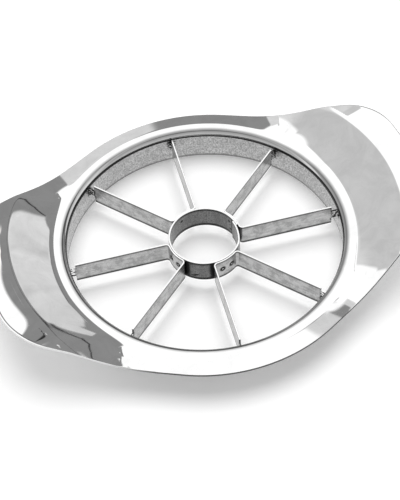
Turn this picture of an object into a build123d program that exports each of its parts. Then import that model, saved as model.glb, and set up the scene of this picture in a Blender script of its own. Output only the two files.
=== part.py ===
# Apple slicer wedger press in stainless steel: a pressed frame with two wing grips,
# a collar that carries the blades, a hub ring and four V-shaped blade strips.
# X runs along the wings, Z is up, and the origin is in the middle of the foot.
import os
from math import asin, atan2, cos, degrees, hypot, radians, sin, sqrt, tan, tanh

from build123d import *

# Cutting well and the rolled lip round it
hole_radius = 46.0
lip_roll_radius = 1.85
lip_skirt = 0.3
edge_guard = 2.85

# Frame plate: one pressed sheet, flat round the well, rising in the wings
frame_sheet = 0.7
land_width = 2.45
rim_width = 9.8
frame_length = 149.2
wing_side_angle = 26.4
wing_corner_radius = 21.5
wing_tip_radius = 124.0
crease_width = 0.8
wing_slope = 0.6
rim_slope = -0.28
slope_turn_angle = 39.7
slope_turn_spread_angle = 13.7
tip_fold_radius = 65.3
tip_fold_width = 1.3
tip_slope = 0.2

# Blade band: a collar nested under the lip, with a slot for each blade tab
band_sheet = 0.7
nest_clearance = 0.02
flange_margin = 0.1
slot_side_clearance = 0.4
slot_end_clearance = 0.5

# Hub ring, rolled from strip with lapped ends
hub_radius = 12.06
hub_sheet = 0.6
hub_rise = 0.2
hub_overhang = 0.1
hub_bevel = 0.7
lap_clearance = 0.05
lap_end_angle = 12.0
lap_length = 2.0
joggle_length = 9.0

# Blade strips: two blades each, bent round a tab that hugs the hub
strip_count = 4
strip_sheet = 0.5
strip_opening_angle = 44.0
strip_turn_angle = 17.0
strip_height = 8.8
strip_drop = 0.85
edge_bevel = 0.9
edge_land = 0.08
hub_bend_radius = 1.0
hub_contact_gap = 0.01
notch_length = 1.8
tab_height = 3.4
tab_drop = 2.0
fold_bend_radius = 0.5
fold_length = 2.5
fold_clearance = 0.03

# Spot welds
weld_diameter = 1.7
weld_height = 0.14
weld_spacing = 3.7
rim_weld_diameter = 1.2
rim_weld_height = 0.15

# Radii and heights that follow from these
land_height = strip_drop + strip_height + edge_guard
half_length = frame_length / 2
lip_centre_radius = hole_radius + lip_roll_radius
lip_centre_height = land_height - lip_roll_radius
land_radius = lip_centre_radius + land_width
flat_radius = land_radius - crease_width
rim_radius = hole_radius + rim_width
band_inner_radius = hole_radius + frame_sheet + nest_clearance
band_outer_radius = band_inner_radius + band_sheet
flange_top = land_height - frame_sheet - nest_clearance
flange_bottom = flange_top - band_sheet
flange_radius = flat_radius - flange_margin
strip_top = land_height - strip_drop
strip_bottom = strip_top - strip_height
hub_bottom = strip_bottom - hub_overhang
hub_height = hub_overhang + strip_height + hub_rise
notch_radius = hole_radius - notch_length
tab_top = strip_top - tab_drop
tab_bottom = tab_top - tab_height
tab_middle_height = (tab_top + tab_bottom) / 2
half_opening = strip_opening_angle / 2
strip_pitch = 360 / strip_count
strip_angles = [strip_turn_angle + strip_pitch * i for i in range(strip_count)]
blade_angles = [a + side * half_opening for a in strip_angles for side in (-1, 1)]

os.makedirs("parts", exist_ok=True)


def bend_over(distance, half_width):
    """Distance past a fold line, eased by a parabola of the given half width."""
    if distance <= -half_width:
        return 0.0
    if distance >= half_width:
        return distance
    return (distance + half_width) ** 2 / (4 * half_width)


def wing_share(angle):
    """One along the wings, nought at front and back, eased between them."""
    turn = cos(radians(2 * angle)) - cos(radians(2 * slope_turn_angle))
    return (1 + tanh(turn / radians(2 * slope_turn_spread_angle))) / 2


def sheet_height(radius, angle):
    """Height of the sheet's top face above the land: wings rise, then ease off past a fold."""
    outside = bend_over(radius - land_radius, crease_width)
    past_fold = bend_over(radius - tip_fold_radius, tip_fold_width)
    wing = wing_slope * outside - (wing_slope - tip_slope) * past_fold
    rim = rim_slope * outside
    return rim + (wing - rim) * wing_share(angle)


def polar(radius, angle):
    return (radius * cos(radians(angle)), radius * sin(radians(angle)))


# ---- Plan outline of the frame: rim arc, straight wing side, corner arc, tip arc ----
side_normal = 90 - wing_side_angle
tip_centre = half_length - wing_tip_radius
corner_offset = rim_radius - wing_corner_radius
corner_reach = wing_tip_radius - wing_corner_radius
tip_across = tip_centre * cos(radians(side_normal))
tip_along = tip_centre * sin(radians(side_normal))
corner_along = tip_along + sqrt(corner_reach**2 - (corner_offset - tip_across) ** 2)
corner_x = corner_offset * cos(radians(side_normal)) + corner_along * sin(radians(side_normal))
corner_y = corner_offset * sin(radians(side_normal)) - corner_along * cos(radians(side_normal))
tip_angle = degrees(atan2(corner_y, corner_x - tip_centre))

with BuildSketch() as outline:
    with BuildLine():
        CenterArc((tip_centre, 0), wing_tip_radius, 0, tip_angle)
        corner = CenterArc((corner_x, corner_y), wing_corner_radius, tip_angle, side_normal - tip_angle)
        rim = CenterArc((0, 0), rim_radius, side_normal, 90 - side_normal)
        Line(corner @ 1, rim @ 0)
        mirror(about=Plane.XZ)
        mirror(about=Plane.YZ)
    make_face()

# ---- Frame plate ----
loft_start = lip_centre_radius + (flat_radius - lip_centre_radius) / 3
land_join = (loft_start + flat_radius) / 2
loft_margin = 6
loft_end = half_length + loft_margin
section_step = 10
section_angles = range(-110, 111, section_step)
trim_height = 2 * (land_height + half_length)
crease_steps = [flat_radius + crease_width * share for share in (0, 0.5, 1, 1.5, 2)]
flank_count = 11
flank_start = crease_steps[-1]
flank_step = (loft_end - flank_start) / flank_count
flank_radii = crease_steps + [flank_start + flank_step * (i + 1) for i in range(flank_count)]
flank_shares = [(r - flat_radius) / (loft_end - flat_radius) for r in flank_radii]


def sheet_section(angle):
    """Closed section of the sheet in the radial plane at this angle."""
    nudge = 0.01
    top = []
    bottom = []
    for radius in flank_radii:
        height = sheet_height(radius, angle)
        slope = (sheet_height(radius + nudge, angle) - sheet_height(radius - nudge, angle)) / (2 * nudge)
        top.append((radius, height))
        bottom.append((radius, height - frame_sheet * hypot(1, slope)))
    radial = Plane(
        origin=(0, 0, land_height),
        x_dir=(cos(radians(angle)), sin(radians(angle)), 0),
        z_dir=(sin(radians(angle)), -cos(radians(angle)), 0),
    )
    with BuildSketch(radial) as section:
        with BuildLine():
            Line((loft_start, 0), top[0])
            add(Edge.make_spline(top, parameters=flank_shares))
            Line(top[-1], bottom[-1])
            add(Edge.make_spline(bottom, parameters=flank_shares))
            Line(bottom[0], (loft_start, -frame_sheet))
            Line((loft_start, -frame_sheet), (loft_start, 0))
        make_face()
    return section.sketch


with BuildPart() as frame_plate:
    loft([sheet_section(angle) for angle in section_angles])
    extrude(outline.sketch, amount=trim_height, mode=Mode.INTERSECT)
    split(bisect_by=Plane.YZ, keep=Keep.TOP)
    mirror(about=Plane.YZ)
    Cylinder(land_join, trim_height, mode=Mode.SUBTRACT)
    with BuildSketch(Plane.XZ):
        with BuildLine():
            lip_centre = (lip_centre_radius, lip_centre_height)
            roll_top = CenterArc(lip_centre, lip_roll_radius, 90, 90)
            roll_under = CenterArc(lip_centre, lip_roll_radius - frame_sheet, 180, -90)
            Polyline(
                roll_top @ 1,
                (hole_radius, lip_centre_height - lip_skirt),
                (hole_radius + frame_sheet, lip_centre_height - lip_skirt),
                roll_under @ 0,
            )
            Polyline(
                roll_under @ 1,
                (land_join, land_height - frame_sheet),
                (land_join, land_height),
                roll_top @ 0,
            )
        make_face()
    revolve(axis=Axis.Z)

# ---- Blade band: wall, sloping shoulder and flange, with a slot for each blade tab ----
shoulder_inset = band_sheet * tan(radians(22.5))
slot_width = strip_sheet + 2 * slot_side_clearance
slot_height = tab_height + 2 * slot_end_clearance

with BuildPart() as blade_band:
    with BuildSketch(Plane.XZ):
        with BuildLine():
            Polyline(
                (band_inner_radius, 0),
                (band_outer_radius, 0),
                (band_outer_radius, lip_centre_height - shoulder_inset),
                (lip_centre_radius + shoulder_inset, flange_bottom),
                (flange_radius, flange_bottom),
                (flange_radius, flange_top),
                (lip_centre_radius, flange_top),
                (band_inner_radius, lip_centre_height),
                (band_inner_radius, 0),
            )
        make_face()
    revolve(axis=Axis.Z)
    for angle in blade_angles:
        slot_plane = Plane(
            origin=(*polar(band_inner_radius - band_sheet, angle), tab_middle_height),
            x_dir=(-sin(radians(angle)), cos(radians(angle)), 0),
            z_dir=(cos(radians(angle)), sin(radians(angle)), 0),
        )
        with BuildSketch(slot_plane):
            Rectangle(slot_width, slot_height)
        extrude(amount=3 * band_sheet, mode=Mode.SUBTRACT)


def knife_section(path, sheet, height, bottom, bevel):
    """Upright strip section at the start of a flat path, sharpened along its lower edge."""
    start = path @ 0
    heading = path % 0
    upright = Plane(
        origin=(start.X, start.Y, bottom),
        x_dir=(-heading.Y, heading.X, 0),
        z_dir=(heading.X, heading.Y, 0),
    )
    with BuildSketch(upright) as section:
        with BuildLine():
            Polyline(
                (-edge_land / 2, 0),
                (edge_land / 2, 0),
                (sheet / 2, bevel),
                (sheet / 2, height),
                (-sheet / 2, height),
                (-sheet / 2, bevel),
                (-edge_land / 2, 0),
            )
        make_face()
    return section.sketch


# ---- Hub ring: a strip rolled round, its last end joggled inwards over the first ----
hub_middle = hub_radius - hub_sheet / 2
lap_step = hub_sheet + lap_clearance
lap_angle = degrees(lap_length / hub_middle)
joggle_angle = degrees(joggle_length / hub_middle)
lap_start_angle = lap_end_angle - lap_angle
joggle_mid_angle = lap_start_angle - joggle_angle / 2
joggle_start_angle = lap_start_angle - joggle_angle
joggle_shift = lap_step / (2 * (1 - cos(radians(joggle_angle / 2))))
lap_middle = hub_middle - lap_step
tight_centre = polar(joggle_shift, joggle_start_angle)
wide_centre = polar(-joggle_shift, lap_start_angle)

with BuildPart() as hub_ring:
    with BuildLine() as hub_path:
        CenterArc((0, 0), hub_middle, lap_start_angle, 360 - joggle_angle)
        CenterArc(tight_centre, hub_middle - joggle_shift, joggle_start_angle, joggle_angle / 2)
        CenterArc(wide_centre, lap_middle + joggle_shift, joggle_mid_angle, joggle_angle / 2)
        CenterArc((0, 0), lap_middle, lap_start_angle, lap_angle)
    hub_wire = hub_path.wire()
    sweep(knife_section(hub_wire, hub_sheet, hub_height, hub_bottom, hub_bevel), path=hub_wire)

# ---- Blade strip: fold, blade, bend, hub tab, bend, blade, fold ----
tab_middle = hub_radius + hub_contact_gap + strip_sheet / 2
bend_middle = hub_bend_radius + strip_sheet / 2
bend_reach = tab_middle + bend_middle
bend_share = degrees(asin(bend_middle / bend_reach))
leg_start = sqrt(bend_reach**2 - bend_middle**2)
bend_angle = half_opening - bend_share
fold_middle = band_outer_radius + fold_clearance + strip_sheet / 2
fold_bend = fold_bend_radius + strip_sheet / 2
fold_reach = fold_middle - fold_bend


def along_leg(reach, across):
    """Plan point beside the upper leg: out along it, and across towards the strip's middle."""
    x, y = polar(reach, half_opening)
    return (x + across * sin(radians(half_opening)), y - across * cos(radians(half_opening)))


with BuildPart() as blade_strip:
    with BuildLine() as strip_path:
        Line(along_leg(fold_middle, fold_bend + fold_length), along_leg(fold_middle, fold_bend))
        CenterArc(along_leg(fold_reach, fold_bend), fold_bend, half_opening, 90)
        Line(along_leg(fold_reach, 0), along_leg(leg_start, 0))
        CenterArc(polar(bend_reach, bend_angle), bend_middle, half_opening + 90, 90 - bend_share)
        CenterArc((0, 0), tab_middle, bend_angle, -bend_angle)
        mirror(about=Plane.XZ)
    strip_wire = strip_path.wire()
    sweep(knife_section(strip_wire, strip_sheet, strip_height, strip_bottom, edge_bevel), path=strip_wire)
    for level, rise in ((tab_top, strip_height), (tab_bottom, -strip_height)):
        with BuildSketch(Plane.XY.offset(level)):
            Circle(rim_radius)
            Circle(notch_radius, mode=Mode.SUBTRACT)
        extrude(amount=rise, mode=Mode.SUBTRACT)

# ---- Spot welds: buttons on the hub tabs and under the band's flange ----
weld_level = (strip_top + strip_bottom + edge_bevel) / 2
weld_radius = tab_middle + strip_sheet / 2
weld_spread = degrees(weld_spacing / weld_radius)
hub_weld_angles = [a + side * weld_spread / 2 for a in strip_angles for side in (-1, 1)]
rim_weld_angles = [strip_turn_angle + strip_pitch / 2 * i for i in range(2 * strip_count)]
rim_weld_radius = (lip_centre_radius + shoulder_inset + flange_radius) / 2

with BuildPart() as hub_spot_welds:
    for angle in hub_weld_angles:
        weld_plane = Plane(
            origin=(*polar(weld_radius, angle), weld_level),
            z_dir=(cos(radians(angle)), sin(radians(angle)), 0),
        )
        with BuildSketch(weld_plane):
            Circle(weld_diameter / 2)
        extrude(amount=weld_height)

with BuildPart() as rim_spot_welds:
    for angle in rim_weld_angles:
        with BuildSketch(Plane(origin=(*polar(rim_weld_radius, angle), flange_bottom), z_dir=(0, 0, -1))):
            Circle(rim_weld_diameter / 2)
        extrude(amount=rim_weld_height)

# ---- Write each piece ----
for name, piece in (
    ("frame_plate", frame_plate),
    ("blade_band", blade_band),
    ("hub_ring", hub_ring),
    ("hub_spot_welds", hub_spot_welds),
    ("rim_spot_welds", rim_spot_welds),
):
    piece.part.label = name
    export_step(piece.part, f"parts/{name}.step")

for number, angle in enumerate(strip_angles, start=1):
    turned = Rot(0, 0, angle) * blade_strip.part
    turned.label = f"blade_strip_{number}"
    export_step(turned, f"parts/blade_strip_{number}.step")
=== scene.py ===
# Apple slicer wedger press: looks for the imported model.
# A mirror-polished frame with two wing grips, a satin collar, a hub ring and eight blades.
from math import asin, atan2, cos, degrees, hypot, pi, radians, sin, sqrt, tan, tanh

import bmesh
import bpy
from mathutils import Matrix, Vector


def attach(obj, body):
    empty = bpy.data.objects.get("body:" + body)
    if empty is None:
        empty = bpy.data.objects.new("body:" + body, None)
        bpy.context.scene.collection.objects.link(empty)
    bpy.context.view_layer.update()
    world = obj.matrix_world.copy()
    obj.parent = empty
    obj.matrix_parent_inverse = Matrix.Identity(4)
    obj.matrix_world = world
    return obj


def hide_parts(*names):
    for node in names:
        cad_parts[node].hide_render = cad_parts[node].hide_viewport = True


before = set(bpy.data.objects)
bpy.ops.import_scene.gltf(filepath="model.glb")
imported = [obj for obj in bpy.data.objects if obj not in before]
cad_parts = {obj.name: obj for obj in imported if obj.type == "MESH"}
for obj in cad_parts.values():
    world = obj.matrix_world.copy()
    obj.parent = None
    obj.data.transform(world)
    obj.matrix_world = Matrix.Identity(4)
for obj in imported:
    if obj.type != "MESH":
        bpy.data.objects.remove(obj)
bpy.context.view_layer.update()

mm = 0.001
scene = bpy.context.scene
scene.view_settings.view_transform = "Standard"
print("frame loaded:", len(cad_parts), "nodes")


class Signal:
    # one shader socket; arithmetic on it adds Math nodes
    def __init__(self, bench, socket):
        self.bench = bench
        self.socket = socket

    def math(self, operation, *others):
        return self.bench.node("Math", {"operation": operation}, [self, *others])

    def __add__(self, other):
        return self.math("ADD", other)

    def __sub__(self, other):
        return self.math("SUBTRACT", other)

    def __mul__(self, other):
        return self.math("MULTIPLY", other)

    def __truediv__(self, other):
        return self.math("DIVIDE", other)

    def __rsub__(self, other):
        return self.bench.node("Math", {"operation": "SUBTRACT"}, [other, self])

    __radd__ = __add__
    __rmul__ = __mul__

    def ramp(self, low, high, first=0.0, last=1.0):
        # smooth step from first to last as the value goes from low to high
        settings = {"interpolation_type": "SMOOTHSTEP"}
        return self.bench.node("MapRange", settings, [self, low, high, first, last])

    def rampMm(self, low, high, first=0.0, last=1.0):
        # the same along a length, with low and high in millimetres
        return self.ramp(low * mm, high * mm, first, last)

    def capped(self):
        return self.math("MINIMUM", 1.0)


class Bench:
    # a node tree being wired
    def __init__(self, tree):
        self.tree = tree

    def node(self, kind, settings=None, inputs=(), output=0):
        made = self.tree.nodes.new("ShaderNode" + kind)
        for name, value in (settings or {}).items():
            setattr(made, name, value)
        pairs = inputs.items() if isinstance(inputs, dict) else enumerate(inputs)
        for key, value in pairs:
            if isinstance(value, Signal):
                self.tree.links.new(value.socket, made.inputs[key])
            elif value is not None:
                made.inputs[key].default_value = value
        return Signal(self, made.outputs[output]) if made.outputs else None

    def place(self):
        # where a point lies on the object
        return self.node("TexCoord", None, (), "Object")

    def split(self, vector):
        made = self.tree.nodes.new("ShaderNodeSeparateXYZ")
        self.tree.links.new(vector.socket, made.inputs[0])
        return [Signal(self, out) for out in made.outputs]

    def combine(self, x, y, z):
        return self.node("CombineXYZ", None, [x, y, z])

    def stretched(self, place, scale, turn=0.0):
        # place scaled by its own amount each way, then turned about the upright, in degrees
        wanted = {0: place, "Rotation": (0, 0, radians(turn)), "Scale": scale}
        return self.node("Mapping", None, wanted)

    def noise(self, vector, scale=1.0, detail=2.0, rough=0.5):
        wanted = {"Vector": vector, "Scale": scale, "Detail": detail, "Roughness": rough}
        return self.node("TexNoise", None, wanted)

    def blend(self, share, first, second):
        # colour between first and second
        return self.node("Mix", {"data_type": "RGBA"}, {0: share, 6: first, 7: second}, 2)


def grey(level, warmth=0.0):
    return (level * (1 + warmth), level, level * (1 - warmth), 1.0)


def newMaterial(name):
    material = bpy.data.materials.new(name)
    material.use_nodes = True
    material.node_tree.nodes.clear()
    return material, Bench(material.node_tree)


def finishMetal(bench, colour, roughness, height):
    # height is the bump, in millimetres
    normal = bench.node("Bump", None, {"Height": height, "Distance": mm, "Strength": 1.0})
    sockets = {"Base Color": colour, "Metallic": 1.0, "Roughness": roughness, "Normal": normal}
    shader = bench.node("BsdfPrincipled", None, sockets)
    bench.node("OutputMaterial", None, {"Surface": shader})


# In the looks below lengths are in millimetres and angles in degrees. A noise is its scale, detail
# and roughness, a stretch is its scale along x, y and z, and stops are where a noise starts and ends
# its effect. "rough" is the roughness at the first and last of its stops.

# Mirror-polished sheet: barely wavy, with faint wiping scratches and swirled cloudy smears, a rolled lip
# darkened as a painted dim reflection, and painted shade in the gap where the lip meets the collar, reaching
# higher at two sides. The sheet past the folds is truer than the rest.
polished = {
    "level": 0.97, "smear": 0.1, "smears": (150.0, 4.0, 0.6), "smearStops": (0.3, 0.72),
    "swirlScale": 70.0, "swirlReach": 20.0,
    "haze": (180.0, 3.0, 0.6), "hazeStops": (0.3, 0.8), "rough": (0.032, 0.06),
    "wave": 0.012, "waves": (55.0, 1.0, 0.5), "scratch": 0.0006, "scratches": (1.0, 3.0, 0.6),
    "scratchStops": (0.62, 0.8), "wipeStretch": (140, 3500, 800), "wipeTurn": 28.648,
    "lipInside": 46.1, "lipMiddle": 47.3, "lipOutside": 48.6, "lipShade": 0.34, "skirtShade": 0.8,
    "gapShade": 0.02, "gapShadeRough": 0.3, "gapShadeFull": 46.8, "gapShadeEnd": 47.2,
    "gapShadeFoot": 10.9, "gapShadeTop": 11.35, "gapShadeLift": 0.75, "gapShadeTurn": 73.0,
    "trueFrom": 64.0, "trueAt": 66.5, "trueShare": 0.12,
}


def polishedSteel():
    p = polished
    material, bench = newMaterial("polishedSteel")
    place = bench.place()
    x, y, z = bench.split(place)
    out = (x * x + y * y).math("SQRT")
    swirl = bench.node("TexNoise", None, {"Vector": place, "Scale": p["swirlScale"]}, "Color")
    reach = p["swirlReach"] * mm
    swirled = bench.node("VectorMath", {"operation": "MULTIPLY_ADD"}, [swirl, (reach, reach, 0.0), place])
    smears = bench.noise(swirled, *p["smears"]).ramp(*p["smearStops"])
    colour = bench.blend(smears, grey(p["level"]), grey(p["level"] - p["smear"]))
    # painted dim reflection: the rolled lip and its skirt are darkened towards black
    onRoll = out.rampMm(p["lipMiddle"], p["lipOutside"], p["lipShade"], 1.0)
    onSkirt = out.rampMm(p["lipInside"], p["lipMiddle"], p["skirtShade"], p["lipShade"])
    colour = bench.blend(onRoll.math("MAXIMUM", onSkirt), grey(0.0), colour)
    # painted shade in the gap where the lip meets the collar, reaching higher at two sides; it also roughens
    # the sheet there
    facing = radians(p["gapShadeTurn"])
    side = ((x * sin(facing) - y * cos(facing)) / out).math("ABSOLUTE")
    lifted = z - side * side * (p["gapShadeLift"] * mm)
    low = lifted.rampMm(p["gapShadeFoot"], p["gapShadeTop"], 1.0, 0.0)
    gapShade = out.rampMm(p["gapShadeFull"], p["gapShadeEnd"], 1.0, 0.0) * low
    colour = bench.blend(gapShade, colour, grey(p["gapShade"]))
    haze = bench.noise(place, *p["haze"]).ramp(*p["hazeStops"], *p["rough"])
    calm = out.rampMm(p["trueFrom"], p["trueAt"], 1.0, p["trueShare"])
    roughness = (haze + gapShade * p["gapShadeRough"]) * calm
    waves = bench.noise(place, *p["waves"])
    wiped = bench.stretched(place, p["wipeStretch"], p["wipeTurn"])
    scratches = bench.noise(wiped, *p["scratches"]).ramp(*p["scratchStops"])
    height = waves * calm * p["wave"] + calm * scratches * p["scratch"]
    finishMetal(bench, colour, roughness, height)
    return material


# Cut edge of the sheet: fine upright drag lines, near black, with a painted highlight that makes it near
# white round the left grip
cutEdge = {"light": 0.12, "dark": 0.04, "paintedHighlight": 0.8, "highlightUntil": -50.0, "highlightGoneFrom": -30.0,
           "drag": (1.0, 3.0, 0.7), "dragStretch": (5000, 5000, 250), "dragStops": (0.3, 0.75),
           "rough": (0.25, 0.45), "roughStops": (0.2, 0.8), "bump": 0.02}


def shearedEdge():
    e = cutEdge
    material, bench = newMaterial("shearedEdge")
    place = bench.place()
    x = bench.split(place)[0]
    drag = bench.noise(bench.stretched(place, e["dragStretch"]), *e["drag"])
    colour = bench.blend(drag.ramp(*e["dragStops"]), grey(e["light"]), grey(e["dark"]))
    # painted highlight: round the left grip the edge is made near white
    colour = bench.blend(x.rampMm(e["highlightUntil"], e["highlightGoneFrom"]), grey(e["paintedHighlight"]), colour)
    finishMetal(bench, colour, drag.ramp(*e["roughStops"], *e["rough"]), drag * e["bump"])
    return material


spotCore = 0.35  # a soft mark is whole out to here, as the square of its share of the half size


def spotsOn(bench, place, spots):
    # soft marks on upright walls, added up; each is its angle, height, half width and half height
    x, y, z = bench.split(place)
    total = 0.0
    for angle, level, wide, tall in spots:
        sine = sin(radians(angle))
        cosine = cos(radians(angle))
        nearSide = (x * cosine + y * sine).rampMm(0.0, 1.0)
        aside = (y * cosine - x * sine) / (wide * mm)
        above = (z - level * mm) / (tall * mm)
        total = (aside * aside + above * above).ramp(spotCore, 1.0, 1.0, 0.0) * nearSide + total
    return total


def edgeBands(z, part, bands):
    # a painted dark line above the ground edge, a painted shade under the top, and painted highlights on the
    # top and ground edge
    ground = part["low"] + part["ground"]
    top = part["high"]
    shadeStart, shadeFull, shadeStay, shadeEnd = bands["shade"]
    lineStay, lineEnd = bands["line"]
    brightStart, brightFull = bands["top"]
    blur = bands["blur"]
    line = z.rampMm(ground, ground + blur) * z.rampMm(ground + lineStay, ground + lineEnd, 1.0, 0.0)
    shade = z.rampMm(top - shadeStart, top - shadeFull) * z.rampMm(top - shadeStay, top - shadeEnd, 1.0, 0.0)
    bright = z.rampMm(top - brightStart, top - brightFull) + z.rampMm(ground - blur, ground, 1.0, 0.0)
    return line, shade, bright.capped()


# Satin strip of the collar: grainy, with painted shade at its lower edge and under the lip, and painted
# shadow round the slots
collarLook = {
    "light": 0.62, "dark": 0.27, "edge": 0.08, "paintedShade": 0.015,
    "speckle": (1900.0, 4.0, 0.75), "speckleStops": (0.36, 0.62), "speckleBump": 0.02,
    "blotch": (210.0, 4.0, 0.65), "blotchStops": (0.35, 0.7), "blotchShare": 0.35, "blotchBump": 0.01,
    "rough": (0.26, 0.46), "roughStops": (0.3, 0.8),
    "foot": (0.3, 1.2), "footShare": 0.7, "underLip": (9.8, 10.4),
    "paintedShadeWide": 1.9, "paintedShadeTall": 3.6, "paintedShadeStops": (0.4, 0.55),
}


def satinSteel():
    look = collarLook
    material, bench = newMaterial("satinSteel")
    place = bench.place()
    z = bench.split(place)[2]
    speckle = bench.noise(place, *look["speckle"])
    blotch = bench.noise(place, *look["blotch"])
    colour = bench.blend(speckle.ramp(*look["speckleStops"]), grey(look["light"]), grey(look["dark"]))
    blotches = blotch.ramp(*look["blotchStops"]) * look["blotchShare"]
    colour = bench.blend(blotches, colour, grey(look["dark"]))
    # painted shade: the strip is darkened at its foot and under the lip
    edges = z.rampMm(*look["foot"], 1.0, 0.0) * look["footShare"] + z.rampMm(*look["underLip"])
    colour = bench.blend(edges, colour, grey(look["edge"]))
    # painted shadow round each slot, broken up by the speckle
    marks = [(angle, collar["slotMiddle"], look["paintedShadeWide"], look["paintedShadeTall"])
             for angle in collar["slotAngles"]]
    paintedShade = spotsOn(bench, place, marks) * speckle.ramp(*look["paintedShadeStops"])
    colour = bench.blend(paintedShade.capped(), colour, grey(look["paintedShade"]))
    roughness = speckle.ramp(*look["roughStops"], *look["rough"])
    height = speckle * look["speckleBump"] + blotch * look["blotchBump"]
    finishMetal(bench, colour, roughness, height)
    return material


# Hub strip: darker than the collar; painted highlights on the top and ground edge beside painted dark lines
# and shade, painted contact shade beside the tabs, a painted shadow line at its lap, small burns inside and
# two scratches outside
hubLook = {
    "light": 0.24, "dark": 0.08, "paintedShade": 0.004, "burnAndLapShadow": 0.01, "scratch": 0.004,
    "line": 0.01, "lineShare": 0.9, "bright": 0.97,
    "speckle": (2400.0, 4.0, 0.75), "speckleStops": (0.36, 0.66), "speckleBump": 0.02,
    "blotch": (1.0, 4.0, 0.6), "blotchStretch": (420, 420, 160), "blotchStops": (0.35, 0.7),
    "blotchShare": 0.45, "blotchBump": 0.02,
    "rough": (0.26, 0.48), "roughStops": (0.3, 0.8), "smoothed": 0.6,
    "paintedShadeStops": (17, 22.5), "paintedShadeSpeckle": 4, "paintedShadeBlotch": 3,
    "inside": (11.85, 11.95), "outside": (11.95, 12.03),
    # weld burns inside, and last a tall thin painted shadow line at the lap
    "burnsAndLapShadow": ((24, 9.4, 0.8, 0.7), (21, 5.8, 0.8, 0.6), (113, 9.2, 0.7, 0.7), (206, 8.0, 0.6, 0.6),
              (17, 7.4, 0.6, 7.5)),
    "scratches": ((232, 5.2, 1.3, 0.35), (237, 5.8, 1.2, 0.35)),
    "bands": {"line": (0.7, 1.5), "shade": (1.4, 0.4, 0.12, 0.08), "top": (0.08, 0.04), "blur": 0.1},
}


def hubSteel():
    look = hubLook
    material, bench = newMaterial("hubSteel")
    place = bench.place()
    x, y, z = bench.split(place)
    out = (x * x + y * y).math("SQRT")
    outside = out.rampMm(*look["outside"])
    speckle = bench.noise(place, *look["speckle"])
    blotch = bench.noise(bench.stretched(place, look["blotchStretch"]), *look["blotch"])
    colour = bench.blend(speckle.ramp(*look["speckleStops"]), grey(look["light"]), grey(look["dark"]))
    blotches = blotch.ramp(*look["blotchStops"]) * look["blotchShare"]
    colour = bench.blend(blotches, colour, grey(look["dark"]))
    # painted contact shade outside, darkest where each blade bends away; fromGap is nought midway between two
    # tabs
    bearing = y.math("ARCTAN2", x) * (180 / pi)
    quarter = (bearing - strip["turn"] - 45).math("WRAP", 90.0, 0.0) - 45
    fromGap = 45 - quarter.math("ABSOLUTE")
    ragged = fromGap + speckle * look["paintedShadeSpeckle"] + blotch * look["paintedShadeBlotch"]
    colour = bench.blend(ragged.ramp(*look["paintedShadeStops"]) * outside, colour, grey(look["paintedShade"]))
    # weld burns inside, and a painted shadow line at the lap
    burnsAndLapShadow = spotsOn(bench, place, look["burnsAndLapShadow"]) * out.rampMm(*look["inside"], 1.0, 0.0)
    colour = bench.blend(burnsAndLapShadow.capped(), colour, grey(look["burnAndLapShadow"]))
    scratches = spotsOn(bench, place, look["scratches"]) * outside
    colour = bench.blend(scratches.capped(), colour, grey(look["scratch"]))
    # painted dark line and shade along the edges, and painted highlights on the top and ground edge
    line, shade, bright = edgeBands(z, hub, look["bands"])
    colour = bench.blend((line + shade) * look["lineShare"], colour, grey(look["line"]))
    colour = bench.blend(bright, colour, grey(look["bright"]))
    roughness = speckle.ramp(*look["roughStops"], *look["rough"]) * (1 - bright * look["smoothed"])
    height = speckle * look["speckleBump"] + blotch * look["blotchBump"]
    finishMetal(bench, colour, roughness, height)
    return material


# Blade strip: drawn lengthways and clouded, with painted highlights on the top and sharpened edge beside
# painted dark lines and shade, scorched rings round the welds, and bright tongues with patchy painted shade
# at the collar
bladeLook = {
    "level": 0.54, "dark": 0.25, "bright": 0.97,
    "drawn": (1.0, 4.0, 0.7), "drawnAlong": 160, "drawnUp": 2600, "drawnStops": (0.35, 0.7),
    "drawnShare": 0.5, "bump": 0.008, "rough": (0.2, 0.4), "roughStops": (0.25, 0.8), "smoothed": 0.6,
    "cloud": (330.0, 5.0, 0.7), "cloudStops": (0.42, 0.62), "cloudShare": 0.7,
    "tongue": (44.4, 44.7), "paintedShade": 0.02, "paintedShadeFrom": 44.6, "paintedShadeFull": 45.2, "paintedShadeWander": 2.0,
    "patches": (1500.0, 2.0, 0.5), "patchStops": (0.44, 0.5),
    "scorch": 0.03, "scorchShare": 0.85, "scorchEnd": (13.5, 13.8), "ringOutside": 1.4, "ringInside": 0.55,
    "line": 0.02, "lineShare": 0.9, "shade": 0.04, "shadeShare": 0.8,
    "bands": {"line": (0.5, 1.2), "shade": (1.0, 0.4, 0.1, 0.05), "top": (0.06, 0.03), "blur": 0.1},
}


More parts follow.
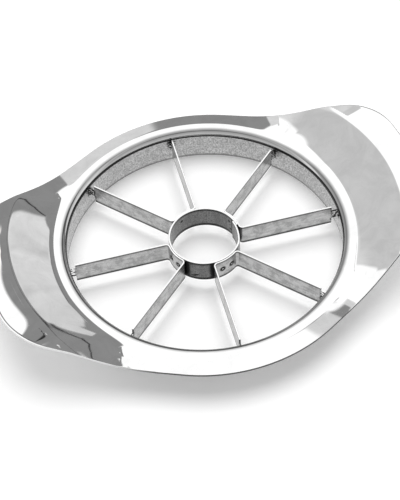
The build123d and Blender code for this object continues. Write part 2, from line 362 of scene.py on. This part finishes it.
def bladeSteel():
    look = bladeLook
    material, bench = newMaterial("bladeSteel")
    place = bench.place()
    x, y, z = bench.split(place)
    out = (x * x + y * y).math("SQRT")
    along = bench.combine(out * look["drawnAlong"], z * look["drawnUp"], 0.0)
    drawn = bench.noise(along, *look["drawn"])
    cloud = bench.noise(place, *look["cloud"])
    lines = drawn.ramp(*look["drawnStops"]) * look["drawnShare"]
    colour = bench.blend(lines, grey(look["level"]), grey(look["dark"]))
    clouds = cloud.ramp(*look["cloudStops"]) * look["cloudShare"]
    colour = bench.blend(clouds, colour, grey(look["dark"]))
    colour = bench.blend(out.rampMm(*look["tongue"]), colour, grey(look["bright"]))
    # patchy painted shade where the tongues pass through the collar
    ragged = out + cloud * (look["paintedShadeWander"] * mm)
    patches = bench.noise(place, *look["patches"]).ramp(*look["patchStops"])
    paintedShade = ragged.rampMm(look["paintedShadeFrom"], look["paintedShadeFull"]) * patches
    colour = bench.blend(paintedShade, colour, grey(look["paintedShade"]))
    rings = [[(angle, welds["level"], size, size) for angle in hubWeldAngles()]
             for size in (look["ringOutside"], look["ringInside"])]
    scorch = spotsOn(bench, place, rings[0]) - spotsOn(bench, place, rings[1])
    scorch = (scorch * out.rampMm(*look["scorchEnd"], 1.0, 0.0)).capped()
    colour = bench.blend(scorch * look["scorchShare"], colour, grey(look["scorch"]))
    # painted dark line and shade along the edges, and painted highlights on the top and ground edge
    line, shade, bright = edgeBands(z, strip, look["bands"])
    colour = bench.blend(line * look["lineShare"], colour, grey(look["line"]))
    colour = bench.blend(shade * look["shadeShare"], colour, grey(look["shade"]))
    colour = bench.blend(bright, colour, grey(look["bright"]))
    roughness = drawn.ramp(*look["roughStops"], *look["rough"]) * (1 - bright * look["smoothed"])
    finishMetal(bench, colour, roughness, drawn * look["bump"])
    return material


# Heat-darkened weld marks
weldLook = {"dark": 0.008, "darkWarmth": 0.02, "light": 0.03, "lightWarmth": 0.03,
            "grain": (2400.0, 4.0, 0.7), "grainStops": (0.35, 0.7), "bump": 0.03,
            "rough": (0.35, 0.6), "roughStops": (0.3, 0.8)}


def weldSteel():
    look = weldLook
    material, bench = newMaterial("weldSteel")
    grain = bench.noise(bench.place(), *look["grain"])
    dark = grey(look["dark"], look["darkWarmth"])
    light = grey(look["light"], look["lightWarmth"])
    colour = bench.blend(grain.ramp(*look["grainStops"]), dark, light)
    finishMetal(bench, colour, grain.ramp(*look["roughStops"], *look["rough"]), grain * look["bump"])
    return material


# The pieces are made in millimetres and degrees, and scaled to metres when they are finished.
# Edges that bend more than a piece's "crisp" angle stay sharp.
mergeWithin = 0.001


def ringOf(work, points):
    # closed loop of edges through the points
    loop = [work.verts.new(point) for point in points]
    return loop + [work.edges.new((loop[i], loop[i - 1])) for i in range(len(loop))]


def fullTurn(work, section, steps):
    # spins an edge loop or chain all the way round the upright axis, and merges what meets itself
    bmesh.ops.spin(work, geom=section, cent=(0, 0, 0), axis=(0, 0, 1), dvec=(0, 0, 0), angle=2 * pi,
                   steps=steps, use_merge=True, use_duplicate=False)
    bmesh.ops.remove_doubles(work, verts=work.verts, dist=mergeWithin)


def turnLoop(work, loop, centre, degreesTurned, steps):
    # sweeps the open end of a bar round an upright axis
    made = bmesh.ops.spin(work, geom=loop, cent=(*centre, 0), axis=(0, 0, 1), dvec=(0, 0, 0),
                          angle=radians(degreesTurned), steps=steps, use_duplicate=False)
    return made["geom_last"]


def pushLoop(work, loop, offset, steps):
    # pushes the open end of a bar straight on
    for step in range(steps):
        edges = [part for part in loop if isinstance(part, bmesh.types.BMEdge)]
        loop = bmesh.ops.extrude_edge_only(work, edges=edges)["geom"]
        loop = [part for part in loop if not isinstance(part, bmesh.types.BMFace)]
        verts = [part for part in loop if isinstance(part, bmesh.types.BMVert)]
        bmesh.ops.translate(work, vec=(offset[0] / steps, offset[1] / steps, 0), verts=verts)
    return loop


def finishPiece(work, name, materials, node, crisp):
    # closes the ends, turns the faces out, and hands the piece to the frame
    openEdges = [edge for edge in work.edges if edge.is_boundary]
    if openEdges:
        bmesh.ops.holes_fill(work, edges=openEdges, sides=0)
    bmesh.ops.recalc_face_normals(work, faces=work.faces)
    bmesh.ops.scale(work, vec=(mm, mm, mm), verts=work.verts)
    mesh = bpy.data.meshes.new(name)
    work.to_mesh(mesh)
    work.free()
    mesh.shade_smooth()
    mesh.set_sharp_from_angle(angle=radians(crisp))
    for material in materials:
        mesh.materials.append(material)
    piece = bpy.data.objects.new(name, mesh)
    scene.collection.objects.link(piece)
    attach(piece, "root")
    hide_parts(node)
    return piece


def onCircle(radius, angle):
    return (radius * cos(radians(angle)), radius * sin(radians(angle)))


# The pressed sheet, as in the CAD source but with softer creases. A slope is the rise for each
# millimetre outwards; "side", "turn" and "spread" are angles.
sheet = {
    "hole": 46.0, "roll": 1.85, "skirt": 0.3, "thick": 0.7, "top": 12.5, "broken": 0.24,
    "flat": 49.3, "wingLand": 50.8, "wingCrease": 1.4, "rimLand": 50.5, "rimCrease": 0.4, "creaseEnd": 52.3,
    "rim": 55.8, "half": 74.6, "side": 26.4, "corner": 21.5, "tip": 124.0,
    "wingSlope": 0.6, "rimSlope": -0.28, "turn": 39.7, "spread": 13.7,
    "fold": 65.3, "foldWidth": 1.3, "tipSlope": 0.2,
    "upperRollRows": 14, "lowerRollRows": 8, "creaseRows": 20, "outerRows": 40, "steps": 480, "crisp": 40,
}


def bendOver(distance, halfWidth):
    # nought before a crease, the distance past it, and a parabola between
    if distance <= -halfWidth:
        return 0.0
    if distance >= halfWidth:
        return distance
    return (distance + halfWidth) ** 2 / (4 * halfWidth)


def sheetHeight(radius, angle):
    # top face above the land: up in the wings, down at front and back
    s = sheet
    turn = cos(2 * angle) - cos(radians(2 * s["turn"]))
    share = (1 + tanh(turn / radians(2 * s["spread"]))) / 2
    land = s["rimLand"] + (s["wingLand"] - s["rimLand"]) * share
    crease = s["rimCrease"] + (s["wingCrease"] - s["rimCrease"]) * share
    outside = bendOver(radius - land, crease)
    pastFold = bendOver(radius - s["fold"], s["foldWidth"])
    wing = s["wingSlope"] * outside - (s["wingSlope"] - s["tipSlope"]) * pastFold
    rim = s["rimSlope"] * outside
    return rim + (wing - rim) * share


def outlineRadius(angle):
    # rim arc, straight side, corner arc and tip arc, mirrored both ways
    s = sheet
    turned = abs(((angle + pi) % (2 * pi)) - pi)
    turned = pi - turned if turned > pi / 2 else turned
    normal = radians(90 - s["side"])
    tipCentre = s["half"] - s["tip"]
    offset = s["rim"] - s["corner"]
    reach = s["tip"] - s["corner"]
    along = tipCentre * sin(normal) + sqrt(reach**2 - (offset - tipCentre * cos(normal)) ** 2)
    cornerX = offset * cos(normal) + along * sin(normal)
    cornerY = offset * sin(normal) - along * cos(normal)
    tipTurn = atan2(cornerY, cornerX - tipCentre)
    tipEnd = atan2(s["tip"] * sin(tipTurn), tipCentre + s["tip"] * cos(tipTurn))
    cornerEnd = atan2(cornerY + s["corner"] * sin(normal), cornerX + s["corner"] * cos(normal))
    if turned < tipEnd:
        return tipCentre * cos(turned) + sqrt(s["tip"] ** 2 - (tipCentre * sin(turned)) ** 2)
    if turned < cornerEnd:
        ahead = cornerX * cos(turned) + cornerY * sin(turned)
        aside = cornerX * sin(turned) - cornerY * cos(turned)
        return ahead + sqrt(max(s["corner"] ** 2 - aside**2, 0))
    return s["rim"] / cos(normal - turned) if turned < normal else s["rim"]


def sheetFace(rows, depth, rollRows):
    # section of one face of the sheet, so deep below its top face: skirt, rolled lip, then the rows
    s = sheet
    radius = s["roll"] - depth
    rollX = s["hole"] + s["roll"]
    rollZ = s["top"] - s["roll"]
    turns = [pi - pi / 2 * i / rollRows for i in range(rollRows + 1)]
    return ([(s["hole"] + depth, 0, rollZ - s["skirt"])]
            + [(rollX + radius * cos(a), 0, rollZ + radius * sin(a)) for a in turns]
            + [(row, 0, s["top"] - depth) for row in rows])


def framePlate():
    s = sheet
    rowEnd = s["creaseEnd"]
    nudge = 0.01
    rows = [s["flat"] + (rowEnd - s["flat"]) * i / s["creaseRows"] for i in range(s["creaseRows"] + 1)]
    rows += [rowEnd + (s["rim"] - rowEnd) * (i + 1) / s["outerRows"] for i in range(s["outerRows"])]
    upper = sheetFace(rows, 0, s["upperRollRows"])
    lower = sheetFace(rows, s["thick"], s["lowerRollRows"])
    work = bmesh.new()
    fullTurn(work, ringOf(work, upper + lower[::-1]), s["steps"])
    bmesh.ops.recalc_face_normals(work, faces=work.faces)
    # the flat ring is drawn out to the outline, and raised and lowered to its slopes
    rimVerts = set()
    for v in work.verts:
        radius = hypot(v.co.x, v.co.y)
        if radius < s["flat"] + nudge:
            continue
        angle = atan2(v.co.y, v.co.x)
        under = v.co.z < s["top"] - s["thick"] / 2
        reach = radius
        if radius > rowEnd:
            share = (radius - rowEnd) / (s["rim"] - rowEnd)
            reach = rowEnd + share * (outlineRadius(angle) - rowEnd)
            if radius > s["rim"] - nudge:
                rimVerts.add(v)
        height = sheetHeight(reach, angle)
        if under:
            slope = (sheetHeight(reach + nudge, angle) - sheetHeight(reach - nudge, angle)) / (2 * nudge)
            height -= s["thick"] * hypot(1, slope)
        v.co = (reach * cos(angle), reach * sin(angle), s["top"] + height)
    # the cut edge and its broken corners take the second material
    for face in work.faces:
        face.material_index = int(all(v in rimVerts for v in face.verts))
    rimEdges = [e for e in work.edges if sum(f.material_index for f in e.link_faces) == 1]
    corners = bmesh.ops.bevel(work, geom=rimEdges, offset=s["broken"], offset_type="OFFSET", segments=2,
                              profile=0.5, affect="EDGES", material=-1, clamp_overlap=True)
    for face in corners["faces"]:
        face.material_index = 1
    steels = [polishedSteel(), shearedEdge()]
    piece = finishPiece(work, "framePlate", steels, "frame_plate", s["crisp"])
    print("frame plate:", len(piece.data.polygons), "faces")


framePlate()


# The collar under the lip
collar = {"inside": 46.72, "thick": 0.7, "shoulder": 10.65, "flangeTop": 11.78, "flange": 49.4,
          "broken": 0.06, "slotDeep": 3, "slotWide": 1.3, "slotTall": 4.4, "slotMiddle": 7.95,
          "slotAngles": (-5, 39, 85, 129, 175, 219, 265, 309), "steps": 360, "crisp": 30}


def cutSlots(piece):
    # eight slots, cut by boxes that are taken away again
    c = collar
    cutters = bmesh.new()
    size = Matrix.Diagonal((c["slotDeep"] * mm, c["slotWide"] * mm, c["slotTall"] * mm, 1))
    for angle in c["slotAngles"]:
        place = Matrix.Translation((*onCircle((c["inside"] + c["thick"]) * mm, angle), c["slotMiddle"] * mm))
        turn = Matrix.Rotation(radians(angle), 4, "Z")
        bmesh.ops.create_cube(cutters, size=1.0, matrix=place @ turn @ size)
    mesh = bpy.data.meshes.new("slotCutters")
    cutters.to_mesh(mesh)
    cutters.free()
    knife = bpy.data.objects.new("slotCutters", mesh)
    scene.collection.objects.link(knife)
    slots = piece.modifiers.new("slots", "BOOLEAN")
    slots.operation = "DIFFERENCE"
    slots.solver = "EXACT"
    slots.object = knife
    cut = bpy.data.meshes.new_from_object(piece.evaluated_get(bpy.context.evaluated_depsgraph_get()))
    piece.modifiers.clear()
    whole = piece.data
    piece.data = cut
    bpy.data.meshes.remove(whole)
    cut.name = piece.name
    bpy.data.objects.remove(knife)
    bpy.data.meshes.remove(mesh)


def bladeBand():
    c = collar
    rise = c["flangeTop"] - c["shoulder"]
    inset = c["thick"] * tan(radians(22.5))
    outside = c["inside"] + c["thick"]
    under = c["flangeTop"] - c["thick"]
    e = c["broken"]
    section = [(c["inside"] + e, 0), (outside - e, 0), (outside, e), (outside, c["shoulder"] - inset),
               (c["inside"] + rise + inset, under), (c["flange"] - e, under), (c["flange"], under + e),
               (c["flange"], c["flangeTop"] - e), (c["flange"] - e, c["flangeTop"]),
               (c["inside"] + rise, c["flangeTop"]), (c["inside"], c["shoulder"]), (c["inside"], e)]
    work = bmesh.new()
    fullTurn(work, ringOf(work, [(across, 0, up) for across, up in section]), c["steps"])
    piece = finishPiece(work, "bladeBand", [satinSteel()], "blade_band", c["crisp"])
    cutSlots(piece)
    print("collar:", len(piece.data.polygons), "faces")


bladeBand()


# A blade strip: fold, blade, bend, hub tab, bend, blade, fold
strip = {"thick": 0.5, "half": 22.0, "turn": 17.0, "low": 2.85, "high": 11.65, "ground": 0.9,
         "edge": 0.04, "broken": 0.05, "tab": 12.32, "bend": 1.25, "notch": 44.2,
         "tongueLow": 6.25, "tongueHigh": 9.65, "foldAt": 47.7, "foldBend": 0.75, "foldLength": 2.5,
         "legSteps": 6, "bendSteps": 20, "tabSteps": 24, "tongueSteps": 2, "foldSteps": 12, "crisp": 10}

# Spot welds: a dark ring round a bright pressed middle on each hub tab, plain buttons under the
# flange. A form is radius and height, from the foot to the middle.
welds = {"hubRadius": 12.57, "level": 7.7, "spread": 8.43, "rimRadius": 48.77, "rimLevel": 11.08,
         "hubForm": ((0.85, 0.0), (0.82, 0.05), (0.72, 0.11), (0.6, 0.14), (0.48, 0.12), (0.38, 0.05),
                     (0.3, 0.02), (0.0, 0.03)),
         "rimForm": ((0.6, 0.0), (0.58, 0.08), (0.5, 0.13), (0.35, 0.15), (0.0, 0.15)),
         "bright": 0.33, "steps": 28, "crisp": 50}


def hubWeldAngles():
    # two to each of the four hub tabs
    return [strip["turn"] + 90 * quarter + side * welds["spread"] for quarter in range(4) for side in (-1, 1)]


def groundSection(part):
    # upright strip in section: ground to an edge below, corners broken above
    half = part["thick"] / 2
    e = part["broken"]
    foot = part["low"] + part["ground"]
    high = part["high"]
    return [(-part["edge"], part["low"]), (part["edge"], part["low"]), (half, foot), (half, high - e),
            (half - e, high), (e - half, high), (-half, high - e), (-half, foot)]


def tongueSection():
    half = strip["thick"] / 2
    e = strip["broken"]
    low = strip["tongueLow"]
    high = strip["tongueHigh"]
    return [(e - half, low), (half - e, low), (half, low + e), (half, high - e),
            (half - e, high), (e - half, high), (-half, high - e), (-half, low + e)]


def bladeStrip(number):
    s = strip
    bendReach = s["tab"] + s["bend"]
    bendShare = degrees(asin(s["bend"] / bendReach))
    legStart = sqrt(bendReach**2 - s["bend"] ** 2)
    bendAngle = s["half"] - bendShare
    bendTurn = 90 - bendShare
    legs = [Vector((*onCircle(1, side * s["half"]), 0)) for side in (1, -1)]
    asides = [Vector((-leg.y, leg.x, 0)) for leg in legs]
    work = bmesh.new()
    # upper leg inwards from its notch, round the hub tab, and out along the lower leg
    upright = [legs[0] * s["notch"] + asides[0] * a + Vector((0, 0, z)) for a, z in groundSection(s)]
    loop = pushLoop(work, ringOf(work, upright), legs[0] * (legStart - s["notch"]), s["legSteps"])
    loop = turnLoop(work, loop, onCircle(bendReach, bendAngle), bendTurn, s["bendSteps"])
    loop = turnLoop(work, loop, (0, 0), -2 * bendAngle, s["tabSteps"])
    loop = turnLoop(work, loop, onCircle(bendReach, -bendAngle), bendTurn, s["bendSteps"])
    pushLoop(work, loop, legs[1] * (s["notch"] - legStart), s["legSteps"])
    # a tongue at each end passes through the collar and folds over behind it
    bendStart = s["foldAt"] - s["foldBend"]
    for leg, beside, side in zip(legs, asides, (1, -1)):
        upright = [leg * s["notch"] + beside * a + Vector((0, 0, z)) for a, z in tongueSection()]
        loop = pushLoop(work, ringOf(work, upright), leg * (bendStart - s["notch"]), s["tongueSteps"])
        centre = leg * bendStart - beside * side * s["foldBend"]
        loop = turnLoop(work, loop, (centre.x, centre.y), -90 * side, s["foldSteps"])
        pushLoop(work, loop, beside * -side * s["foldLength"], 1)
    turn = Matrix.Rotation(radians(s["turn"] + 90 * (number - 1)), 3, "Z")
    bmesh.ops.rotate(work, cent=(0, 0, 0), matrix=turn, verts=work.verts)
    piece = finishPiece(work, f"bladeStrip{number}", [blade], f"blade_strip_{number}",
                        s["crisp"])
    return len(piece.data.polygons)


blade = bladeSteel()
print("blade strips:", [bladeStrip(number) for number in (1, 2, 3, 4)], "faces")


# The hub ring, rolled from strip; its last end steps inwards over the first
hub = {"radius": 12.06, "thick": 0.6, "low": 2.75, "high": 11.85, "ground": 0.7, "edge": 0.04,
       "broken": 0.07, "lapEnd": 12.0, "lap": 2.0, "joggle": 9.0, "gap": 0.05,
       "ringSteps": 180, "joggleSteps": 16, "lapSteps": 8, "crisp": 12}


def hubRing():
    h = hub
    middle = h["radius"] - h["thick"] / 2
    lapTurn = degrees(h["lap"] / middle)
    joggleTurn = degrees(h["joggle"] / middle)
    lapStart = h["lapEnd"] - lapTurn
    shift = (h["thick"] + h["gap"]) / (2 * (1 - cos(radians(joggleTurn / 2))))
    work = bmesh.new()
    loop = ringOf(work, [(*onCircle(middle + across, lapStart), up) for across, up in groundSection(h)])
    loop = turnLoop(work, loop, (0, 0), 360 - joggleTurn, h["ringSteps"])
    loop = turnLoop(work, loop, onCircle(shift, lapStart - joggleTurn), joggleTurn / 2, h["joggleSteps"])
    loop = turnLoop(work, loop, onCircle(-shift, lapStart), joggleTurn / 2, h["joggleSteps"])
    turnLoop(work, loop, (0, 0), lapTurn, h["lapSteps"])
    piece = finishPiece(work, "hubRing", [hubSteel()], "hub_ring", h["crisp"])
    print("hub ring:", len(piece.data.polygons), "faces")


hubRing()


def weldButtons(name, form, places, node, ring):
    # one button turned at the axis for each place, then moved there; a ring has a bright middle
    work = bmesh.new()
    for place in places:
        before = set(work.verts)
        chain = [work.verts.new((across, 0, height)) for across, height in form]
        edges = [work.edges.new((chain[i], chain[i + 1])) for i in range(len(chain) - 1)]
        fullTurn(work, chain + edges, welds["steps"])
        fresh = [vert for vert in work.verts if vert not in before]
        for face in {face for vert in fresh for face in vert.link_faces}:
            reach = face.calc_center_median().xy.length
            face.material_index = 1 if ring and reach < welds["bright"] else 0
        bmesh.ops.transform(work, matrix=place, verts=fresh)
    materials = [weldSteel(), blade] if ring else [weldSteel()]
    finishPiece(work, name, materials, node, welds["crisp"])


def hubWeldPlaces():
    for angle in hubWeldAngles():
        outwards = Matrix.Rotation(radians(angle), 4, "Z") @ Matrix.Rotation(pi / 2, 4, "Y")
        yield Matrix.Translation((*onCircle(welds["hubRadius"], angle), welds["level"])) @ outwards


def rimWeldPlaces():
    for eighth in range(8):
        spot = (*onCircle(welds["rimRadius"], strip["turn"] + 45 * eighth), welds["rimLevel"])
        yield Matrix.Translation(spot) @ Matrix.Rotation(pi, 4, "X")


weldButtons("hubSpotWelds", welds["hubForm"], hubWeldPlaces(), "hub_spot_welds", True)
weldButtons("rimSpotWelds", welds["rimForm"], rimWeldPlaces(), "rim_spot_welds", False)
print("welds made")


# Camera as the photograph was taken; place in metres, angles in degrees, lens in millimetres
shot = {"place": (-0.102396, -0.332985, 0.438137), "turn": 16.8, "tilt": 51.24, "roll": 3.58,
        "lens": 119.08, "sensor": 36, "near": 0.01, "far": 20}


def placeCamera():
    heading = radians(shot["turn"])
    tilt = radians(shot["tilt"])
    roll = radians(shot["roll"])
    # axes of the level view, before the roll
    right = Vector((cos(heading), -sin(heading), 0))
    ahead = Vector((sin(heading) * cos(tilt), cos(heading) * cos(tilt), -sin(tilt)))
    up = Vector((sin(heading) * sin(tilt), cos(heading) * sin(tilt), cos(tilt)))
    rolledRight = right * cos(roll) - up * sin(roll)
    rolledUp = right * sin(roll) + up * cos(roll)
    data = bpy.data.cameras.new("camera")
    data.sensor_width = shot["sensor"]
    data.sensor_height = shot["sensor"]
    data.sensor_fit = "AUTO"
    data.lens = shot["lens"]
    data.clip_start = shot["near"]
    data.clip_end = shot["far"]
    camera = bpy.data.objects.new("camera", data)
    turn = Matrix((rolledRight, rolledUp, -ahead)).transposed()
    camera.matrix_world = Matrix.Translation(shot["place"]) @ turn.to_4x4()
    scene.collection.objects.link(camera)
    scene.camera = camera
    print("camera placed")


placeCamera()


# The studio that the mirror faces see: white all round, with soft grey cards, later ones in front.
# A card is the azimuth and height of its middle, its half sizes, the turn in its plane and the
# softness of its edge, in degrees, then its grey and how cloudy it is. Where they are left out, the
# turn and the cloudiness are nought and the softness is studio["soft"].
studio = {"diffuse": 0.52, "bearing": 16.8, "white": 1.12, "backdrop": 1.0, "soft": 0.3,
          "clouds": (9.0, 5.0, 0.55)}
cards = [
    # dark field over the far left, mirrored in the left grip and the back rim
    {"azimuth": 66, "height": 24, "wide": 31, "tall": 19, "soft": 1.5, "grey": 0.26},
    {"azimuth": 62, "height": 43, "wide": 14.2, "tall": 3.7, "grey": 0.26},
    {"azimuth": 51.8, "height": 43.6, "wide": 13.5, "tall": 13, "turn": 125, "soft": 1.5, "grey": 0.26},
    {"azimuth": 73.2, "height": 48.8, "wide": 7.5, "tall": 1.35, "turn": -49, "soft": 0.08, "grey": 0.26},
    {"azimuth": 65.5, "height": 50, "wide": 4.5, "tall": 3.6, "turn": -35, "grey": 0.26},
    {"azimuth": 71, "height": 47, "wide": 2.5, "tall": 1.6, "grey": 0.26},
    {"azimuth": 50.5, "height": 35, "wide": 3.5, "tall": 3, "grey": 0.26},
    {"azimuth": 63, "height": 54.5, "wide": 7, "tall": 0.8, "turn": -24, "grey": 0.26},
    # pale field over the far right, mirrored in the right grip, with white above it
    {"azimuth": 136, "height": 31, "wide": 39, "tall": 28, "soft": 1.5, "grey": 0.58, "cloudy": 0.1},
    {"azimuth": 112, "height": 40, "wide": 10, "tall": 12, "soft": 8, "grey": 0.74},
    {"azimuth": 106, "height": 51.5, "wide": 13, "tall": 12, "turn": 41.6, "soft": 2, "grey": 1.12},
    {"azimuth": 126.3, "height": 58.9, "wide": 8, "tall": 6, "turn": 27, "soft": 2, "grey": 1.12},
    {"azimuth": 105.3, "height": 41, "wide": 0.9, "tall": 6, "soft": 0.2, "grey": 0.6},
    {"azimuth": 101.2, "height": 30.5, "wide": 4.7, "tall": 13.5, "soft": 0.6, "grey": 0.7, "cloudy": 0.15},
    # pale cloudy shape inside the dark field, with a pale border
    {"azimuth": 53.1, "height": 22.3, "wide": 15, "tall": 4.9, "turn": -48.8, "grey": 0.82},
    {"azimuth": 53.1, "height": 22.3, "wide": 14.7, "tall": 4.6, "turn": -48.8, "soft": 0.6, "grey": 0.66,
     "cloudy": 0.7},
    {"azimuth": 50.1, "height": 32, "wide": 5.5, "tall": 2.4, "turn": -48.8, "soft": 0.8, "grey": 0.7,
     "cloudy": 0.5},
    {"azimuth": 66.8, "height": 11.5, "wide": 3.2, "tall": 3.5, "soft": 0.4, "grey": 0.66, "cloudy": 0.5},
    {"azimuth": 68.3, "height": 17.06, "wide": 3.9, "tall": 1.6, "turn": 54, "grey": 0.68, "cloudy": 0.5},
    # thin black lines in the dark field
    {"azimuth": 65.3, "height": 18.6, "wide": 0.2, "tall": 3, "soft": 0.15, "grey": 0.03},
    {"azimuth": 64.6, "height": 24.4, "wide": 0.3, "tall": 3, "turn": 19, "soft": 0.15, "grey": 0.03},
    {"azimuth": 60.4, "height": 30, "wide": 4.6, "tall": 0.3, "turn": -43, "soft": 0.15, "grey": 0.03},
    {"azimuth": 53, "height": 35.7, "wide": 4.8, "tall": 0.3, "turn": -31, "soft": 0.15, "grey": 0.03},
    {"azimuth": 72.4, "height": 50, "wide": 2.7, "tall": 0.1, "turn": -40, "soft": 0.06, "grey": 0.03},
    # small dark spot in its halo, mirrored in the front rim, with white beside it
    {"azimuth": 54.5, "height": 61, "wide": 3.5, "tall": 1.6, "grey": 1.12},
    {"azimuth": 46.5, "height": 65.2, "wide": 14, "tall": 3, "turn": 6, "soft": 0.8, "grey": 0.68,
     "cloudy": 0.2},
    {"azimuth": 47.2, "height": 64.4, "wide": 5.2, "tall": 1.7, "turn": 10, "soft": 0.5, "grey": 0.25},
    # dim on the near side, mirrored in the rolled lip
    {"azimuth": 270, "height": 76, "wide": 85, "tall": 11, "soft": 2, "grey": 0.38},
    {"azimuth": 270, "height": 34, "wide": 80, "tall": 32, "soft": 8, "grey": 0.62},
]


def studioWorld():
    world = bpy.data.worlds.new("studio")
    world.use_nodes = True
    world.node_tree.nodes.clear()
    scene.world = world
    bench = Bench(world.node_tree)
    toward = bench.node("TexCoord", None, (), "Generated")
    x, y, z = bench.split(toward)
    azimuth = (y.math("ARCTAN2", x) * (180 / pi) + studio["bearing"]).math("WRAP", 360.0, 0.0)
    height = z.math("ARCSINE") * (180 / pi)
    clouds = bench.noise(toward, *studio["clouds"]) - 0.5
    seen = studio["white"]
    for card in cards:
        aside = azimuth - card["azimuth"]
        above = height - card["height"]
        soft = card.get("soft", studio["soft"])
        turnCos = cos(radians(card.get("turn", 0)))
        turnSin = sin(radians(card.get("turn", 0)))
        across = (aside * turnCos + above * turnSin).math("ABSOLUTE") - card["wide"]
        along = (above * turnCos - aside * turnSin).math("ABSOLUTE") - card["tall"]
        cover = across.ramp(-soft, soft, 1.0, 0.0) * along.ramp(-soft, soft, 1.0, 0.0)
        seen = (1 - cover) * seen + cover * (clouds * card.get("cloudy", 0.0) + card["grey"])
    path = bench.node("LightPath", None, (), "Is Camera Ray")
    glossy = bench.node("LightPath", None, (), "Is Glossy Ray")
    plain = bench.node("Background", None, {"Color": grey(1.0), "Strength": studio["diffuse"]})
    mirror = bench.node("Background", None, {"Color": grey(1.0), "Strength": seen})
    backdrop = bench.node("Background", None, {"Color": grey(1.0), "Strength": studio["backdrop"]})
    lit = bench.node("MixShader", None, [glossy, plain, mirror])
    whole = bench.node("MixShader", None, [path, lit, backdrop])
    bench.node("OutputWorld", None, {"Surface": whole})


studioWorld()


# Soft lamp above and a little behind, seen by no mirror; metres and watts
softLamp = {"size": 1.0, "power": 8.0, "place": (0.08, 0.25, 0.97)}


def studioLamp():
    data = bpy.data.lights.new("softLamp", "AREA")
    data.shape = "DISK"
    data.size = softLamp["size"]
    data.energy = softLamp["power"]
    lamp = bpy.data.objects.new("softLamp", data)
    scene.collection.objects.link(lamp)
    spot = Vector(softLamp["place"])
    lamp.matrix_world = Matrix.Translation(spot) @ spot.to_track_quat("Z", "Y").to_matrix().to_4x4()
    lamp.visible_glossy = False
    lamp.visible_camera = False


studioLamp()


# White paper, seen by the camera and in the steel as white, that still takes the shadow; metres
paper = {"white": 0.9, "glow": 0.15, "mirrored": 1.0, "half": 6.0, "under": 0.0002}


def studioFloor():
    material, bench = newMaterial("paperFloor")
    matte = bench.node("BsdfDiffuse", None, {"Color": grey(paper["white"])})
    camera = bench.node("LightPath", None, (), "Is Camera Ray")
    glossy = bench.node("LightPath", None, (), "Is Glossy Ray")
    glow = bench.node("Emission", None, {"Color": grey(1.0), "Strength": camera * paper["glow"]})
    mirrored = bench.node("Emission", None, {"Color": grey(1.0), "Strength": paper["mirrored"]})
    both = bench.node("AddShader", None, [matte, glow])
    seen = bench.node("MixShader", None, [glossy, both, mirrored])
    bench.node("OutputMaterial", None, {"Surface": seen})
    work = bmesh.new()
    bmesh.ops.create_grid(work, x_segments=1, y_segments=1, size=paper["half"],
                          matrix=Matrix.Translation((0, 0, -paper["under"])))
    mesh = bpy.data.meshes.new("paperFloor")
    work.to_mesh(mesh)
    work.free()
    floor = bpy.data.objects.new("paperFloor", mesh)
    scene.collection.objects.link(floor)
    mesh.materials.append(material)


studioFloor()
print("studio set")
